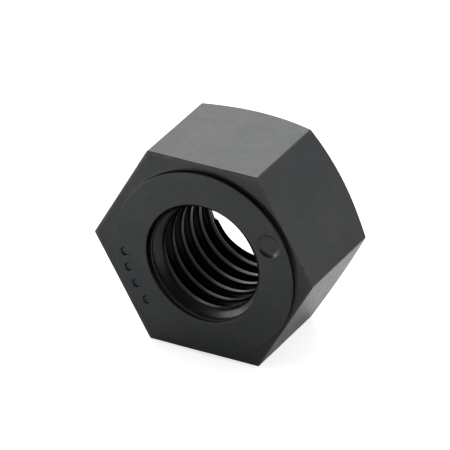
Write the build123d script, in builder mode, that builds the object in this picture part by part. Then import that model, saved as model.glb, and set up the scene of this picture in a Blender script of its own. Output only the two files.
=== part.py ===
from build123d import *
from build123d.topology import SkipClean
from math import cos, radians, sin, tan
import os

# Heavy hex nut for a 5/8-11 UNC bolt: one piece of forged and machined steel.
#
# Millimetres. The bore runs along Y, the raised washer face looks towards -Y,
# and the nut stands on one of its six flats, so two corners point along +X and -X.
# The origin is on the bore's axis, halfway between the two end faces.

# ---- Driving dimensions ----

# The hexagon. It is forged before the bore and the washer face are machined together,
# so its middle lies half a millimetre off their axis, as the nut's standard allows.
SIDE_COUNT = 6
ACROSS_FLATS = 26.4
CORNER_ROUNDING = 0.3
HEXAGON_X = -0.42
HEXAGON_Z = 0.27

# From the washer face to the back face
THICKNESS = 16.2

# The raised round bearing face at the front
WASHER_FACE_DIAMETER = 24.8
WASHER_FACE_HEIGHT = 0.6
WASHER_RIM_ROUNDING = 0.15

# The cone across the corners at the back, round the hexagon's own middle
BACK_FACE_DIAMETER = 25.2
BACK_CHAMFER_ANGLE = 30

# 5/8-11 UNC internal thread, right-handed. The middle of its groove passes straight
# above the axis at THREAD_START behind the washer face, and every pitch after that.
THREAD_PITCH = 25.4 / 11
THREAD_MAJOR_DIAMETER = 15.95
THREAD_MINOR_DIAMETER = 13.8
THREAD_FLANK_ANGLE = 30
THREAD_ROOT_FLAT = THREAD_PITCH / 8
THREAD_START = 2.08

# The countersinks at the two mouths of the bore: the front one has a short straight wall
# before its cone, and the back one is a flatter cone that starts right at the back face.
COUNTERSINK_DIAMETER = 16.2
FRONT_WALL_DEPTH = 0.6
FRONT_CONE_HALF_ANGLE = 45
BACK_CONE_HALF_ANGLE = 60

# ---- Worked-out dimensions ----

half_thickness = THICKNESS / 2
body_length = THICKNESS - WASHER_FACE_HEIGHT
sector_angle = 360 / SIDE_COUNT
corner_radius = ACROSS_FLATS / 2 / cos(radians(sector_angle / 2))

# The hexagon's own axis, and its six corners as seen along Y
hexagon_plane = Plane(origin=(HEXAGON_X, 0, HEXAGON_Z))
hexagon_axis = Axis((HEXAGON_X, 0, HEXAGON_Z), (0, 1, 0))
corners = []
for side in range(SIDE_COUNT):
    turn = radians(side * sector_angle)
    corners.append(Vector(HEXAGON_X + corner_radius * cos(turn), HEXAGON_Z + corner_radius * sin(turn)))

# The ring that cuts the chamfer cone and the sectors reach past the corners.
clear_radius = corner_radius + 1
sector_reach = clear_radius / corner_radius
back_face_radius = BACK_FACE_DIAMETER / 2
ring_depth = (clear_radius - back_face_radius) * tan(radians(BACK_CHAMFER_ANGLE))

minor_radius = THREAD_MINOR_DIAMETER / 2
mouth_radius = COUNTERSINK_DIAMETER / 2
mouth_step = mouth_radius - minor_radius
wall_bottom = -half_thickness + FRONT_WALL_DEPTH
front_cone_end = wall_bottom + mouth_step / tan(radians(FRONT_CONE_HALF_ANGLE))
back_cone_start = half_thickness - mouth_step / tan(radians(BACK_CONE_HALF_ANGLE))

# The groove's cutter reaches a little inside the bore. It starts straight above the axis,
# two pitches ahead of THREAD_START, and its turns carry it past the back face.
cutter_inset = 0.5
cutter_turns = 9
cutter_start = THREAD_START - 2 * THREAD_PITCH - half_thickness
thread_depth = (THREAD_MAJOR_DIAMETER - THREAD_MINOR_DIAMETER) / 2
root_half_width = THREAD_ROOT_FLAT / 2
flank_spread = (thread_depth + cutter_inset) * tan(radians(THREAD_FLANK_ANGLE))
mouth_half_width = root_half_width + flank_spread

# ---- Thread cutter ----

with BuildPart() as thread_cutter:
    with BuildLine():
        helix = Helix(
            pitch=THREAD_PITCH,
            height=cutter_turns * THREAD_PITCH,
            radius=minor_radius,
            center=(0, cutter_start, 0),
            direction=(0, 1, 0),
        )
    # The groove's section stands on the helix's first point, with its X away from the axis.
    start = helix @ 0
    outwards = Vector(start.X, 0, start.Z).normalized()
    along_turn = outwards.cross(Vector(0, 1, 0))
    with BuildSketch(Plane(origin=start, x_dir=outwards, z_dir=along_turn)):
        with BuildLine():
            Polyline(
                (-cutter_inset, -mouth_half_width),
                (thread_depth, -root_half_width),
                (thread_depth, root_half_width),
                (-cutter_inset, mouth_half_width),
                close=True,
            )
        make_face()
    sweep(path=helix, is_frenet=True)

# ---- Blank: the nut before its bore ----

with BuildPart() as blank:
    # Hexagonal body, with its six long corners a little rounded
    with BuildSketch(Plane.XZ.offset(half_thickness - WASHER_FACE_HEIGHT)):
        with Locations((HEXAGON_X, HEXAGON_Z)):
            RegularPolygon(ACROSS_FLATS / 2, SIDE_COUNT, major_radius=False)
    extrude(amount=-body_length)
    fillet(blank.edges().filter_by(Axis.Y), CORNER_ROUNDING)

    # Chamfer cone across the corners at the back
    with BuildSketch(hexagon_plane):
        with BuildLine():
            Polyline(
                (back_face_radius, half_thickness),
                (clear_radius, half_thickness - ring_depth),
                (clear_radius, half_thickness),
                close=True,
            )
        make_face()
    revolve(axis=hexagon_axis, mode=Mode.SUBTRACT)

    # Raised washer face at the front
    with BuildSketch(Plane.XZ.offset(half_thickness)):
        Circle(WASHER_FACE_DIAMETER / 2)
    extrude(amount=-WASHER_FACE_HEIGHT)
    rim = blank.edges().filter_by(GeomType.CIRCLE).group_by(Axis.Y)[0]
    fillet(rim, WASHER_RIM_ROUNDING)

# ---- Sectors: one for each side of the hexagon, from corner to corner ----

sectors = []
for side in range(SIDE_COUNT):
    with BuildPart() as sector:
        # The side's share of the blank
        with BuildSketch(Plane.XZ.offset(half_thickness)):
            with BuildLine():
                Polyline(
                    (0, 0),
                    corners[side] * sector_reach,
                    corners[(side + 1) % SIDE_COUNT] * sector_reach,
                    close=True,
                )
            make_face()
        extrude(amount=-THICKNESS)
        add(blank.part, mode=Mode.INTERSECT)

        # Helical thread groove
        add(thread_cutter.part, mode=Mode.SUBTRACT)

        # Bore, with a countersink at each mouth
        with BuildSketch(Plane.XY):
            with BuildLine():
                Polyline(
                    (0, -half_thickness),
                    (mouth_radius, -half_thickness),
                    (mouth_radius, wall_bottom),
                    (minor_radius, front_cone_end),
                    (minor_radius, back_cone_start),
                    (mouth_radius, half_thickness),
                    (0, half_thickness),
                    close=True,
                )
            make_face()
        revolve(axis=Axis.Y, mode=Mode.SUBTRACT)
    sectors.append(sector.part)

# ---- Nut: the sectors joined into one solid ----

# The faces stay divided at the corners, so each stretch of thread crest is a short patch.
with SkipClean(), BuildPart() as hex_nut:
    add(sectors, clean=False)

# ---- Files ----

hex_nut.part.label = "hex_nut"
os.makedirs("parts", exist_ok=True)
export_step(hex_nut.part, "parts/hex_nut.step")
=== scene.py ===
from math import cos, pi, radians, sin, tan

import bmesh
import bpy
import numpy as np
from mathutils import Matrix, Vector, noise
from mathutils.geometry import delaunay_2d_cdt


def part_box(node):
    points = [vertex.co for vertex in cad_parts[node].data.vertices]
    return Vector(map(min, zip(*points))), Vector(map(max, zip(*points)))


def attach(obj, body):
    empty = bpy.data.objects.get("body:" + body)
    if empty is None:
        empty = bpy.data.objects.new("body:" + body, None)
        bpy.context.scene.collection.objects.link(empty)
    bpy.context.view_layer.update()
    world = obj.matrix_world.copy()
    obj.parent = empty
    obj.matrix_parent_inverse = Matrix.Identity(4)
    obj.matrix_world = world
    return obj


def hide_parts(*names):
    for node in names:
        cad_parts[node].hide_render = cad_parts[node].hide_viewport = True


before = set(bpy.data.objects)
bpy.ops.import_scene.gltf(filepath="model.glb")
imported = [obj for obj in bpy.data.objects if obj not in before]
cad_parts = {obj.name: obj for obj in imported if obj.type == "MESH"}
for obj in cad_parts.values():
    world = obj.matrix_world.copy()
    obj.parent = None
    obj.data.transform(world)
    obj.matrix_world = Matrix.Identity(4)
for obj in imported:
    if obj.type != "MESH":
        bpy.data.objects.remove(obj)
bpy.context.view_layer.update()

# ---------------------------------------------------------------------------------------------
# The nut's measures, in millimetres, as in the CAD model: the bore runs along Y, the washer face
# looks towards -Y, and an angle t is measured round the bore from +X towards +Z. The hexagon's
# middle is half a millimetre off the bore's axis, and the box gives it.
# ---------------------------------------------------------------------------------------------
MM = 0.001
LOW, HIGH = (Vector(v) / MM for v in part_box("hex_nut"))
FRONT_Y = LOW.y                       # plane of the washer face
BACK_Y = HIGH.y                       # plane of the back face
FLAT = (HIGH.z - LOW.z) / 2           # the hexagon's middle to a flat
HEX_X = (LOW.x + HIGH.x) / 2
HEX_Z = (LOW.z + HIGH.z) / 2
WASHER_HEIGHT = 0.6
SHOULDER_Y = FRONT_Y + WASHER_HEIGHT  # plane of the hexagon's front end
WASHER_R = 12.40
BACK_R = 12.6
CHAMFER = radians(30)
PITCH = 25.4 / 11
MAJOR_R = 15.95 / 2
MINOR_R = 13.8 / 2
ROOT_HALF = PITCH / 16
FLANK = tan(radians(30))
THREAD_START = 2.08                   # first groove, straight above the axis, behind the front
MOUTH_R = 8.1

# Roundings: the CAD model leaves them out, apart from the one at the washer face's rim.
CORNER_ROUND = 0.3
CORNER_CENTRE = (FLAT - CORNER_ROUND) / cos(radians(30))
WASHER_RIM_ROUND = 0.12
WASHER_FOOT_ROUND = 0.07
FRONT_EDGE_ROUND = 0.15               # the hexagon's front edges, and how much this wanders
FRONT_EDGE_WANDER = 0.04
CHAMFER_ROUND = 0.22                  # where the flats meet the chamfer
CHAMFER_WANDER = 0.05
BACK_RIM_ROUND = 0.15
RING_MARGIN = 0.35                    # from the edge of a flat ring face to its outermost row

# The front mouth of the bore.
MOUTH_TRIM = 0.08                     # leaves room for the lip inside MOUTH_R
MOUTH_DRAFT = 0.07
WALL_MEAN = 0.20                      # the mouth's wall: its mean depth, how far it swings
WALL_SWING = 0.50                     # round the mouth, and where it is deepest
WALL_DEEPEST = radians(172)
LIP = 0.07

# The back mouth, with a stretch of the last ridge broken away.
BACK_MOUTH_R = 8.0
BACK_SLOPE = tan(radians(60))
BACK_LIP = 0.06
TORN_DEPTH = 1.0
TORN_REACH = 1.3                      # from the back face
TORN_FROM, TORN_FADE_IN = radians(150), radians(20)
TORN_TO, TORN_FADE_OUT = radians(207), radians(3)


def smooth_max(a, b, k):
    h = np.clip(0.5 + 0.5 * (a - b) / k, 0.0, 1.0)
    return b + (a - b) * h + k * h * (1.0 - h)


def smooth_min(a, b, k):
    return -smooth_max(-a, -b, k)


# ---------------------------------------------------------------------------------------------
# A soup of grids and triangles that share their borders; welded at the end.
# ---------------------------------------------------------------------------------------------
verts, faces = [], []


def add_grid(points):
    """points[row, column] -> a sheet of quads."""
    rows, columns = points.shape[:2]
    first = sum(len(v) for v in verts)
    verts.append(points.reshape(-1, 3))
    r, c = np.meshgrid(np.arange(rows - 1), np.arange(columns - 1), indexing="ij")
    a = first + r * columns + c
    faces.extend(np.stack([a, a + 1, a + columns + 1, a + columns], -1).reshape(-1, 4).tolist())


def polar(r, y, t, x=0.0, z=0.0):
    """Points at radius r and angle t round the line through (x, z)."""
    r, y, t = np.broadcast_arrays(r, y, t)
    return np.stack([x + r * np.cos(t), y, z + r * np.sin(t)], -1)


def add_annulus(inner, outer, extra, y):
    """Fills the flat ring between two closed loops of (x, z) points, using the extra points."""
    points = np.concatenate([inner, outer, extra])
    edges, start = [], 0
    for loop in (inner, outer):
        n = len(loop)
        edges += [(start + i, start + (i + 1) % n) for i in range(n)]
        start += n
    out = delaunay_2d_cdt([Vector(p) for p in points], edges, [], 0, 1e-6)
    flat = np.array([v[:] for v in out[0]])
    t_in = np.arctan2(inner[:, 1], inner[:, 0]) % (2 * pi)
    order = np.argsort(t_in)
    r_in = np.hypot(inner[:, 0], inner[:, 1])
    first = sum(len(v) for v in verts)
    verts.append(np.stack([flat[:, 0], np.full(len(flat), y), flat[:, 1]], -1))
    for tri in out[2]:
        middle = flat[list(tri)].mean(0)
        t = np.arctan2(middle[1], middle[0]) % (2 * pi)
        hole_edge = np.interp(t, t_in[order], r_in[order], period=2 * pi)
        if np.hypot(*middle) > hole_edge - 1e-3:
            faces.append([first + i for i in tri])


# ---------------------------------------------------------------------------------------------
# Outside: one column of the profile per angle, from the washer face round to the back face.
# ---------------------------------------------------------------------------------------------
ARC_COLUMNS = 8                       # columns round each rounded corner of the hexagon
FLAT_COLUMNS = 38                     # columns along each flat, between the close ones at its ends


def outline_angles():
    """Angles of the columns, from a corner on, closer together at the corners."""
    half = FLAT * tan(radians(30)) - CORNER_ROUND * tan(radians(30))
    along = [-half, -half + 0.12]
    along += list(np.linspace(-half + 0.3, half - 0.3, FLAT_COLUMNS))
    along += [half - 0.12]
    angles = []
    for side in range(6):
        for a in np.linspace(-30, 30, ARC_COLUMNS + 1)[:-1]:
            a = radians(a)
            turn = np.arctan2(CORNER_ROUND * sin(a), CORNER_CENTRE + CORNER_ROUND * cos(a))
            angles.append(radians(60 * side) + turn)
        for x in along:
            angles.append(radians(60 * side + 30) + np.arctan2(x, FLAT))
    return np.array(angles)


def hexagon_radius(t):
    """Distance from the hexagon's middle to its rounded outline, at each angle."""
    d = (np.degrees(t) + 30) % 60 - 30          # from the nearest corner
    flat = FLAT / np.cos(np.radians(30 - np.abs(d)))
    across = CORNER_CENTRE * np.sin(np.radians(d))
    chord = np.sqrt(np.maximum(CORNER_ROUND ** 2 - across ** 2, 0))
    arc = CORNER_CENTRE * np.cos(np.radians(d)) + chord
    arc_end_x = CORNER_CENTRE + CORNER_ROUND * cos(radians(30))
    arc_end = np.degrees(np.arctan2(CORNER_ROUND * 0.5, arc_end_x))
    return np.where(np.abs(d) <= arc_end, arc, flat)


def rounded_profile(corners, radii, arc_steps, spans):
    """corners[i][column] is a point. Each inner corner gets an arc, and each straight its rows."""
    corners = np.array(corners)
    step = np.diff(corners, axis=0)
    unit = step / np.linalg.norm(step, axis=-1, keepdims=True)
    rows, leave = [], corners[0]
    for i in range(len(step)):
        if i < len(step) - 1:
            a, b = unit[i], unit[i + 1]
            turn = np.arccos(np.clip((a * b).sum(-1), -1, 1))[:, None]
            rho = np.broadcast_to(radii[i], turn.shape[:1])[:, None]
            arrive = corners[i + 1] - a * rho * np.tan(turn / 2)
        else:
            arrive = corners[i + 1]
        rows += [leave + (arrive - leave) * f for f in spans[i]]
        if i < len(step) - 1:
            side = (b - a * np.cos(turn)) / np.sin(turn)
            for k in range(arc_steps[i]):
                w = turn * k / arc_steps[i]
                rows.append(arrive + a * rho * np.sin(w) + side * rho * (1 - np.cos(w)))
            leave = corners[i + 1] + b * rho * np.tan(turn / 2)
        else:
            rows.append(arrive)
    return np.array(rows)


def wander(t, scale, seed):
    """A smooth closed random line round the nut, between -1 and 1."""
    return np.array([noise.noise(Vector((cos(a) * scale, sin(a) * scale, seed))) for a in t])


t_out = outline_angles()
r_hex = hexagon_radius(t_out)
RING_OUT = WASHER_R - RING_MARGIN
RING_BACK = BACK_R - RING_MARGIN
chamfer_y = BACK_Y - (r_hex - BACK_R) * tan(CHAMFER)
front_edge_round = FRONT_EDGE_ROUND + FRONT_EDGE_WANDER * wander(t_out, 6, 3.1)
chamfer_round = CHAMFER_ROUND + CHAMFER_WANDER * wander(t_out, 6, 9.4)


def on_hexagon(r, y):
    return polar(r, y, t_out, HEX_X, HEX_Z)


outside = rounded_profile(
    corners=[polar(RING_OUT, FRONT_Y, t_out),
             polar(WASHER_R, FRONT_Y, t_out),
             polar(WASHER_R, SHOULDER_Y, t_out),
             on_hexagon(r_hex, SHOULDER_Y),
             on_hexagon(r_hex, chamfer_y),
             on_hexagon(BACK_R, BACK_Y),
             on_hexagon(RING_BACK, BACK_Y)],
    radii=[WASHER_RIM_ROUND, WASHER_FOOT_ROUND, front_edge_round, chamfer_round, BACK_RIM_ROUND],
    arc_steps=[6, 4, 6, 5, 4],
    spans=[[0, 0.5],
           [0, 0.3, 0.7],
           [0, 0.25, 0.5, 0.8],
           [0, 0.008, 0.025] + list(np.linspace(0.05, 0.95, 28)) + [0.975, 0.992],
           [0, 0.1, 0.35, 0.65, 0.9],
           [0, 0.5]])
add_grid(np.concatenate([outside, outside[:, :1]], axis=1))

# ---------------------------------------------------------------------------------------------
# Bore: rows run parallel to the thread, so its crests and roots stay clean lines, and they end in
# level rows at the two mouths.
# ---------------------------------------------------------------------------------------------
BORE_COLUMNS = 288
HALF_TURN = [0, 0.09, 0.144, 0.20, 0.36, 0.52, 0.66, 0.72, 0.765, 0.81, 0.87, 1.0]
PER_PITCH = HALF_TURN + [PITCH / 2] + [PITCH - u for u in HALF_TURN[:0:-1]]
FRONT_ROWS = FRONT_Y + 0.12
BACK_ROWS = BACK_Y - 0.10
LIP_ANGLES = np.linspace(0, pi / 2, 5)


def groove_y(t):
    return FRONT_Y + THREAD_START - PITCH * (t - pi / 2) / (2 * pi)


def bore_radius(y, t):
    u = np.abs((y - groove_y(t) + PITCH / 2) % PITCH - PITCH / 2)
    slope = MAJOR_R - (u - ROOT_HALF) / FLANK
    r = smooth_max(smooth_min(slope, MAJOR_R, 0.10), MINOR_R, 0.20)
    # the front mouth: a short steep wall, deeper on one side, and then a 45 degree cone
    inwards = y - FRONT_Y
    wall = WALL_MEAN + WALL_SWING * np.cos(t - WALL_DEEPEST)
    steep = MOUTH_R - MOUTH_TRIM - MOUTH_DRAFT * inwards
    r = smooth_max(r, smooth_min(steep, MOUTH_R + wall - inwards, 0.25), 0.08)
    # the back mouth, and the stretch of the last ridge that has broken away
    r = smooth_max(r, BACK_MOUTH_R - (BACK_Y - y) * BACK_SLOPE, 0.04)
    torn = np.clip((TORN_TO - t) / TORN_FADE_OUT, 0, 1)
    torn = torn * np.clip((t - TORN_FROM) / TORN_FADE_IN, 0, 1)
    torn = torn * np.clip((y - BACK_Y + TORN_REACH) / 0.25, 0, 1)
    return smooth_max(r, MINOR_R + TORN_DEPTH * torn, 0.03)


def add_lip(level_rows, end_y, lip, outwards):
    """Level rows, and then a quarter-round lip to the face at end_y. Returns the last radii."""
    rows = [(bore_radius(y, t_bore), y) for y in level_rows]
    rim = bore_radius(end_y - outwards * lip, t_bore)
    for a in LIP_ANGLES:
        rows.append((rim + lip * (1 - cos(a)), end_y - outwards * lip * (1 - sin(a))))
    add_grid(np.array([polar(r, y, t_bore) for r, y in rows]))
    return rows[-1][0]


t_bore = np.linspace(0, 2 * pi, BORE_COLUMNS + 1)
turns = np.arange(-2, int((BACK_Y - FRONT_Y) / PITCH) + 4)
first_row = FRONT_Y + PITCH / 4
base = first_row + (turns[:, None] * PITCH + np.array(PER_PITCH)[None, :]).ravel()
y_bore = base[:, None] - PITCH * t_bore[None, :] / (2 * pi)
y_bore = np.clip(y_bore, FRONT_ROWS, BACK_ROWS)
add_grid(polar(bore_radius(y_bore, t_bore[None, :]), y_bore, t_bore[None, :]))
front_ring = add_lip([FRONT_ROWS, FRONT_Y + 0.10], FRONT_Y, LIP, -1)
back_ring = add_lip([BACK_ROWS], BACK_Y, BACK_LIP, 1)

# ---------------------------------------------------------------------------------------------
# The two flat ring faces, with finer points where the washer face has its marks.
# ---------------------------------------------------------------------------------------------
# plain round marks on the washer face, each as x, z, radius and depth
PUNCH_PLACES = ((11.1, 185.5), (10.95, 196.5), (10.8, 208.5), (10.75, 221.5))   # radius, degrees
PUNCH_R, PUNCH_DEPTH = 0.60, 0.28
MARKS = [(r * cos(radians(t)), r * sin(radians(t)), PUNCH_R, PUNCH_DEPTH) for r, t in PUNCH_PLACES]
MARKS.append((8.97, 4.74, 1.6, 0.26))
MARK_RINGS = (0.15, 0.3, 0.45, 0.6, 0.75, 0.86, 0.94, 1.0, 1.06, 1.16)          # of its radius
MARK_CLEAR = 1.35


def ring_points(inner, outer, step, marks=()):
    """Points spread over a flat ring, with rings of finer ones round each mark."""
    points = []
    radius, turn = inner + step, 0
    while radius < outer - 0.4 * step:
        n = int(2 * pi * radius / step)
        t = (np.arange(n) + 0.5 * turn) * 2 * pi / n
        points.append(np.stack([radius * np.cos(t), radius * np.sin(t)], -1))
        radius += step * 0.87
        turn = 1 - turn
    points = np.concatenate(points)
    for x, z, r, _ in marks:
        away = np.hypot(points[:, 0] - x, points[:, 1] - z) > r * MARK_CLEAR
        points = points[away]
        fine = [np.array([[x, z]])]
        for k, f in enumerate(MARK_RINGS):
            n = max(8, int(10 + 34 * f))
            t = (np.arange(n) + 0.5 * (k % 2)) * 2 * pi / n
            fine.append(np.stack([x + f * r * np.cos(t), z + f * r * np.sin(t)], -1))
        points = np.concatenate([points] + fine)
    return points


def loop_of(radius, t, x=0.0, z=0.0):
    return polar(radius, 0.0, t, x, z)[:, ::2]


add_annulus(loop_of(front_ring[:-1], t_bore[:-1]), loop_of(RING_OUT, t_out),
            ring_points(front_ring.max(), RING_OUT, 0.33, MARKS), FRONT_Y)
add_annulus(loop_of(back_ring[:-1], t_bore[:-1]), loop_of(RING_BACK, t_out, HEX_X, HEX_Z),
            ring_points(back_ring.max() + 0.1, RING_BACK - 0.5, 0.5), BACK_Y)

# ---------------------------------------------------------------------------------------------
# Weld, then the unevenness of a forged and machined surface, always inwards.
# ---------------------------------------------------------------------------------------------
WELD = 0.004
DEGENERATE = 0.0005
SHARP_TURN = 6.0                      # the turn, per millimetre, that counts as a full edge
BODY_UNEVEN = 0.022
FACE_UNEVEN = 0.010

mesh = bpy.data.meshes.new("hex_nut_forged")
mesh.from_pydata(np.concatenate(verts).tolist(), [], faces)
bm = bmesh.new()
bm.from_mesh(mesh)
bmesh.ops.remove_doubles(bm, verts=bm.verts, dist=WELD)
bmesh.ops.dissolve_degenerate(bm, edges=bm.edges, dist=DEGENERATE)
loose = [v for v in bm.verts if not v.link_faces]
bmesh.ops.delete(bm, geom=loose, context="VERTS")
bmesh.ops.recalc_face_normals(bm, faces=bm.faces)
open_edges = [e for e in bm.edges if not e.is_manifold]
print("nut mesh:", len(bm.verts), "vertices,", len(bm.faces), "faces,",
      len(open_edges), "open edges, volume", bm.calc_volume())
bm.to_mesh(mesh)
bm.free()

vertex_count = len(mesh.vertices)
co = np.empty(vertex_count * 3)
mesh.vertices.foreach_get("co", co)
co = co.reshape(-1, 3)
normal = np.array([v.vector[:] for v in mesh.vertex_normals])

# how sharply each vertex's neighbourhood turns outwards, for wear along the edges
ends = np.empty(len(mesh.edges) * 2, dtype=int)
mesh.edges.foreach_get("vertices", ends)
ends = ends.reshape(-1, 2)
gap = co[ends[:, 0]] - co[ends[:, 1]]
bend = ((normal[ends[:, 0]] - normal[ends[:, 1]]) * gap).sum(-1)
bend = bend / np.maximum((gap ** 2).sum(-1), 1e-6)
sharp = np.zeros(vertex_count)
np.maximum.at(sharp, ends[:, 0], bend)
np.maximum.at(sharp, ends[:, 1], bend)
sharp = np.clip(sharp / SHARP_TURN, 0, 1)
for _ in range(2):
    total, count = np.zeros(vertex_count), np.zeros(vertex_count)
    for a, b in ((0, 1), (1, 0)):
        np.add.at(total, ends[:, a], sharp[ends[:, b]])
        np.add.at(count, ends[:, a], 1)
    sharp = 0.5 * sharp + 0.5 * total / np.maximum(count, 1)

# unevenness everywhere but in the bore
push = np.zeros(vertex_count)
outside_bore = np.hypot(co[:, 0], co[:, 2]) > MOUTH_R + 0.3
for i in np.nonzero(outside_bore)[0]:
    p = Vector(co[i])
    broad = 0.5 + 0.5 * noise.noise(p * 0.22 + Vector((5.1, 0, 0)))
    fine = 0.5 + 0.5 * noise.noise(p * 0.7 + Vector((0, 8.2, 0)))
    push[i] = broad + 0.35 * fine
on_face = (co[:, 1] < FRONT_Y + 0.05) | (co[:, 1] > BACK_Y - 0.05)
push *= np.where(on_face, FACE_UNEVEN, BODY_UNEVEN)
co -= normal * push[:, None]

# the marks: bowls with a flat bottom and a soft edge
for x, z, r, depth in MARKS:
    d = np.hypot(co[:, 0] - x, co[:, 2] - z) / r
    near = (d < 1.3) & (co[:, 1] < FRONT_Y + 0.05)
    bowl = np.clip(smooth_min(1.0, (1.0 - d) / 0.25, 0.3), 0, 1)
    co[:, 1] += np.where(near, depth * bowl, 0)
co[:, 1] = np.maximum(co[:, 1], FRONT_Y)
mesh.vertices.foreach_set("co", (co * MM).ravel())
mesh.attributes.new("edge", "FLOAT", "POINT").data.foreach_set("value", sharp)
mesh.polygons.foreach_set("use_smooth", np.ones(len(mesh.polygons), dtype=bool))
mesh.update()

nut = bpy.data.objects.new("hex_nut_forged", mesh)
bpy.context.collection.objects.link(nut)
weighted = nut.modifiers.new("normals", "WEIGHTED_NORMAL")
weighted.weight = 80

# ---------------------------------------------------------------------------------------------
# Black oxide on forged steel. It is shaded as a metal, so each colour is how much it reflects,
# and all of them are very dark.
# ---------------------------------------------------------------------------------------------
COOL = (0.041, 0.044, 0.047)
WARM = (0.048, 0.050, 0.050)
SPOTS = (0.036, 0.038, 0.039)
RUBBED = (0.12, 0.12, 0.118)
# painted shade for the thread's crests, darkest near the front
FRONT_CREST_SHADE = (0.006, 0.006, 0.007)
BACK_CREST_SHADE = (0.011, 0.0115, 0.011)
# painted shade for the washer face's step, the front mouth and the grooves
STEP_SHADE = (0.030, 0.031, 0.031)
MOUTH_SHADE = (0.038, 0.039, 0.041)
GROOVE_SHADE = (0.009, 0.009, 0.010)

steel = bpy.data.materials.new("black_oxide_steel")
steel.use_nodes = True
nodes, links = steel.node_tree.nodes, steel.node_tree.links
shader = nodes["Principled BSDF"]
shader.inputs["Metallic"].default_value = 1.0


def node(kind, **settings):
    made = nodes.new(kind)
    for key, value in settings.items():
        setattr(made, key, value)
    return made


def link(a, b):
    links.new(a, b)


def maths(operation, a, b=None):
    made = node("ShaderNodeMath", operation=operation)
    for i, value in enumerate((a, b)):
        if value is None:
            continue
        if isinstance(value, (int, float)):
            made.inputs[i].default_value = value
        else:
            link(value, made.inputs[i])
    return made.outputs[0]


def product(first, *others):
    for other in others:
        first = maths("MULTIPLY", first, other)
    return first


def noise_of(vector, scale, detail, rough):
    made = node("ShaderNodeTexNoise")
    made.inputs["Scale"].default_value = scale
    made.inputs["Detail"].default_value = detail
    made.inputs["Roughness"].default_value = rough
    link(vector, made.inputs["Vector"])
    return made.outputs["Fac"]


def set_range(made, *numbers):
    for name, number in zip(("From Min", "From Max", "To Min", "To Max"), numbers):
        made.inputs[name].default_value = number


def spread(value, low, high, out_low, out_high):
    made = node("ShaderNodeMapRange", clamp=True)
    link(value, made.inputs["Value"])
    set_range(made, low, high, out_low, out_high)
    return made.outputs["Result"]


def above(value, low, high):
    return spread(value, low, high, 0, 1)


def below(value, low, high):
    return spread(value, low, high, 1, 0)


def blend(factor, a, b):
    made = node("ShaderNodeMix", data_type="RGBA")
    link(factor, made.inputs[0])
    for socket, value in ((made.inputs[6], a), (made.inputs[7], b)):
        if isinstance(value, tuple):
            socket.default_value = (*value, 1)
        else:
            link(value, socket)
    return made.outputs[2]


place = node("ShaderNodeTexCoord").outputs["Object"]
scaled = node("ShaderNodeVectorMath", operation="SCALE")
scaled.inputs["Scale"].default_value = 1000     # metres to millimetres
link(place, scaled.inputs[0])
mm = scaled.outputs[0]
parts = node("ShaderNodeSeparateXYZ")
link(mm, parts.inputs[0])
x, y, z = parts.outputs
from_axis = maths("SQRT", maths("ADD", product(x, x), product(z, z)))

# the machined washer face, with fine turned rings
machined = below(y, FRONT_Y + 0.1, FRONT_Y + 0.2)
rings = node("ShaderNodeCombineXYZ")
link(product(from_axis, 6.0), rings.inputs[0])
link(product(x, 0.05), rings.inputs[1])
turning = noise_of(rings.outputs[0], 1.0, 3.0, 0.6)

cloud = noise_of(mm, 0.16, 3.0, 0.55)
mottle = noise_of(mm, 0.9, 4.0, 0.6)
grain = noise_of(mm, 7.0, 3.0, 0.6)
tint = blend(above(cloud, 0.38, 0.62), COOL, WARM)
tint = blend(spread(mottle, 0.45, 0.75, 0, 0.3), tint, SPOTS)

# the edges outside the washer face are rubbed brighter
edge = node("ShaderNodeAttribute", attribute_name="edge").outputs["Fac"]
worn = product(above(edge, 0.25, 0.8),
               spread(mottle, 0.35, 0.6, 0.1, 0.5),
               above(from_axis, WASHER_R + 0.1, WASHER_R + 0.3))
tint = blend(worn, tint, RUBBED)

# painted shade: the thread's crests are coloured darker, most near the front, to dim their
# highlights
crest = product(below(from_axis, MINOR_R + 0.06, MINOR_R + 0.12),
                above(y, FRONT_Y + 1.5, FRONT_Y + 2.5))
painted_crest_shade = blend(above(y, FRONT_Y + 2.0, BACK_Y - 1.0), FRONT_CREST_SHADE, BACK_CREST_SHADE)
tint = blend(crest, tint, painted_crest_shade)

# painted shade: the washer face's step, the front mouth and the grooves are coloured darker
near_front = below(y, FRONT_Y + 1.6, FRONT_Y + 2.4)
step_shade_mask = product(above(from_axis, WASHER_R - 0.15, WASHER_R - 0.05),
                  below(from_axis, WASHER_R + 0.02, WASHER_R + 0.15),
                  near_front)
tint = blend(step_shade_mask, tint, STEP_SHADE)
# painted shade: the front mouth's wall and cone are coloured a little darker
mouth_shade_mask = product(below(from_axis, MOUTH_R - 0.05, MOUTH_R + 0.02),
                   above(y, FRONT_Y + 0.05, FRONT_Y + 0.15),
                   near_front)
tint = blend(mouth_shade_mask, tint, MOUTH_SHADE)
# painted shade: the grooves near the front are coloured darker
groove_shade_mask = product(above(from_axis, MINOR_R + 0.01, MINOR_R + 0.06),
                    below(from_axis, MAJOR_R, MAJOR_R + 0.05),
                    above(y, FRONT_Y + 1.6, FRONT_Y + 3.4))
tint = blend(groove_shade_mask, tint, GROOVE_SHADE)
link(tint, shader.inputs["Base Color"])

rough = maths("ADD", spread(mottle, 0.3, 0.7, 0.27, 0.35), spread(grain, 0.3, 0.7, -0.03, 0.03))
rough = maths("ADD", rough, product(machined, spread(turning, 0.3, 0.7, -0.05, 0.02)))
link(rough, shader.inputs["Roughness"])

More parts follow.
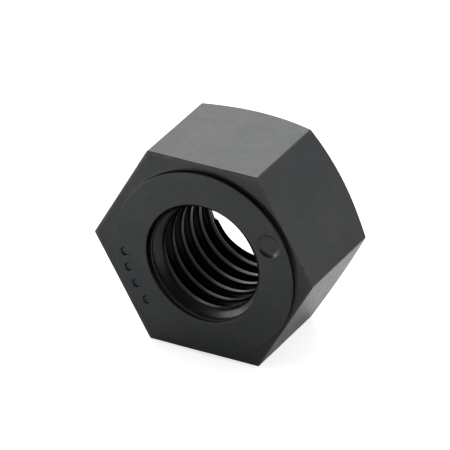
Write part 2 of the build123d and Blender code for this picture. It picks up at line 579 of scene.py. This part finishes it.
height = maths("ADD", product(mottle, 0.011), product(grain, 0.0022))
height = maths("ADD", height, product(machined, product(turning, 0.003)))
bump = node("ShaderNodeBump")
bump.inputs["Strength"].default_value = 0.6
bump.inputs["Distance"].default_value = 0.001   # the heights are in millimetres
link(height, bump.inputs["Height"])
link(bump.outputs["Normal"], shader.inputs["Normal"])
mesh.materials.append(steel)

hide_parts("hex_nut")
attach(nut, "root")

# ---------------------------------------------------------------------------------------------
# Floor: it glows for the camera, to look white, and much less for the light on the nut.
# ---------------------------------------------------------------------------------------------
FLOOR_HALF = 30.0
FLOOR_GLOW = 0.13
CAMERA_GLOW = 0.57                    # added to it where the camera sees the floor

floor_corners = [(-FLOOR_HALF, -FLOOR_HALF, 0), (FLOOR_HALF, -FLOOR_HALF, 0),
                 (FLOOR_HALF, FLOOR_HALF, 0), (-FLOOR_HALF, FLOOR_HALF, 0)]
floor_mesh = bpy.data.meshes.new("floor")
floor_mesh.from_pydata(floor_corners, [], [(0, 1, 2, 3)])
floor = bpy.data.objects.new("floor", floor_mesh)
floor.location.z = LOW.z * MM
bpy.context.collection.objects.link(floor)
pale = bpy.data.materials.new("floor")
pale.use_nodes = True
pale_nodes, pale_links = pale.node_tree.nodes, pale.node_tree.links
floor_shader = pale_nodes["Principled BSDF"]
floor_shader.inputs["Base Color"].default_value = (0.9, 0.9, 0.9, 1)
floor_shader.inputs["Roughness"].default_value = 0.9
floor_shader.inputs["Specular IOR Level"].default_value = 0.0
floor_shader.inputs["Emission Color"].default_value = (1, 1, 1, 1)
camera_ray = pale_nodes.new("ShaderNodeLightPath").outputs["Is Camera Ray"]
glow = pale_nodes.new("ShaderNodeMath")
glow.operation = "MULTIPLY_ADD"
pale_links.new(camera_ray, glow.inputs[0])
glow.inputs[1].default_value = CAMERA_GLOW
glow.inputs[2].default_value = FLOOR_GLOW
pale_links.new(glow.outputs[0], floor_shader.inputs["Emission Strength"])
floor_mesh.materials.append(pale)

# ---------------------------------------------------------------------------------------------
# The room: pale behind the nut, dim in front of it, and dimmest where a photographer would stand.
# To the camera it is never darker than white.
# ---------------------------------------------------------------------------------------------
DARK_SIDE = Vector((0.36, -0.85, 0.38)).normalized()
DARK_LEVEL = 0.45
DARK_INNER, DARK_OUTER = radians(24), radians(52)
FRONT_LEVEL, BACK_LEVEL = 0.22, 1.10

world = bpy.data.worlds.new("studio")
bpy.context.scene.world = world
world.use_nodes = True
world_nodes, world_links = world.node_tree.nodes, world.node_tree.links


def world_maths(operation, a, b):
    made = world_nodes.new("ShaderNodeMath")
    made.operation = operation
    world_links.new(a, made.inputs[0])
    world_links.new(b, made.inputs[1])
    return made.outputs[0]


def world_step(value, low, high, out_low, out_high):
    made = world_nodes.new("ShaderNodeMapRange")
    made.interpolation_type = "SMOOTHSTEP"
    world_links.new(value, made.inputs["Value"])
    set_range(made, low, high, out_low, out_high)
    return made.outputs["Result"]


direction = world_nodes.new("ShaderNodeTexCoord").outputs["Generated"]
facing = world_nodes.new("ShaderNodeVectorMath")
facing.operation = "DOT_PRODUCT"
world_links.new(direction, facing.inputs[0])
facing.inputs[1].default_value = DARK_SIDE
axes = world_nodes.new("ShaderNodeSeparateXYZ")
world_links.new(direction, axes.inputs[0])
patch = world_step(facing.outputs["Value"], cos(DARK_OUTER), cos(DARK_INNER), 1.0, DARK_LEVEL)
depth = world_step(axes.outputs["Y"], -0.6, 0.3, FRONT_LEVEL, BACK_LEVEL)
seen = world_nodes.new("ShaderNodeLightPath").outputs["Is Camera Ray"]
level = world_maths("MAXIMUM", world_maths("MULTIPLY", patch, depth), seen)
background = world_nodes["Background"]
background.inputs["Color"].default_value = (1, 1, 1, 1)
world_links.new(level, background.inputs["Strength"])


def soft_light(name, direction, distance, size, radiance, colour):
    """A round lamp that faces the nut. Its distance and size are in metres."""
    data = bpy.data.lights.new(name, "AREA")
    data.shape = "DISK"
    data.size = size
    data.energy = radiance * pi * pi * (size / 2) ** 2
    data.color = colour
    lamp = bpy.data.objects.new(name, data)
    direction = Vector(direction).normalized()
    lamp.location = direction * distance
    lamp.rotation_euler = direction.to_track_quat("Z", "Y").to_euler()
    lamp.visible_camera = False
    bpy.context.collection.objects.link(lamp)


soft_light("back_softbox", (-0.54, 0.68, 0.50), 0.2, 0.22, 1.7, (1.0, 0.99, 0.98))
soft_light("left_card", (-0.75, -0.66, 0.03), 0.085, 0.035, 5.0, (0.98, 0.99, 1.0))

# ---------------------------------------------------------------------------------------------
# Camera: it stands straight off the middle of the hexagon's front end, and looks a little to the
# right of it and above it. Lengths are in millimetres.
# ---------------------------------------------------------------------------------------------
AZIMUTH, ELEVATION, ROLL = radians(28.913), radians(29.345), radians(0.760)
DISTANCE = 748.6
AIM_RIGHT, AIM_UP = 2.728, 4.187
LENS = 490.0
SENSOR = 36

ca, sa = cos(AZIMUTH), sin(AZIMUTH)
ce, se = cos(ELEVATION), sin(ELEVATION)
cr, sr = cos(ROLL), sin(ROLL)
towards = Vector((sa * ce, -ca * ce, se))
level_right = Vector((ca, sa, 0))
level_up = Vector((-sa * se, ca * se, ce))
right = cr * level_right - sr * level_up
up = sr * level_right + cr * level_up
front_end = Vector((HEX_X, SHOULDER_Y, HEX_Z))
aim = front_end + AIM_RIGHT * right + AIM_UP * up
eye = front_end + DISTANCE * towards
back = (eye - aim).normalized()
right = (right - back * right.dot(back)).normalized()
up = back.cross(right)
pose = Matrix((right, up, back)).transposed().to_4x4()
pose.translation = eye * MM

camera_data = bpy.data.cameras.new("camera")
camera_data.lens = LENS
camera_data.sensor_width = SENSOR
camera_data.clip_start = 0.01
camera = bpy.data.objects.new("camera", camera_data)
camera.matrix_world = pose
bpy.context.collection.objects.link(camera)
bpy.context.scene.camera = camera
bpy.context.scene.view_settings.view_transform = "Standard"
